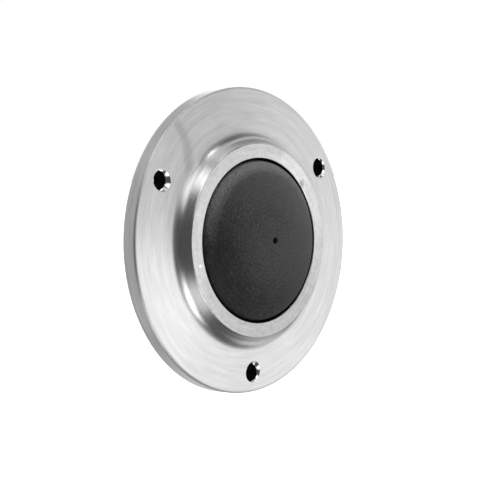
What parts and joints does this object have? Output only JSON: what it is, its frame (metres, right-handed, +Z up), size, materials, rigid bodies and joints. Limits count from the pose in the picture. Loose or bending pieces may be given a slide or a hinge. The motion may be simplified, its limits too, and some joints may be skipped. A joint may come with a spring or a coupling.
{
  "type": "wall door bumper",
  "caption": "Round wall door stop: a satin metal flange with a coved boss, and a convex black rubber buffer held from behind by a screwed plate.",
  "frame": {"origin": "centre of the flat back, in the plane of the wall that the stop is screwed to", "axes": "+Y into the wall, along the axis that every piece is turned about; the rubber faces -Y; +Z up, with one wall screw hole straight down"},
  "size_m": [0.0826, 0.0153, 0.0826],
  "materials": {
    "satin_metal": "satin, turned: fine concentric brush lines",
    "black_rubber": "moulded, matt with a soft sheen",
    "plated_steel": "zinc-plated sheet, dull",
    "screw_steel": "plated machine screw"
  },
  "bodies": {
    "root": {"base_flange": "satin_metal", "rubber_bumper": "black_rubber", "backing_plate": "plated_steel", "plate_screw_1": "screw_steel", "plate_screw_2": "screw_steel", "plate_screw_3": "screw_steel"}
  },
  "joints": []
}
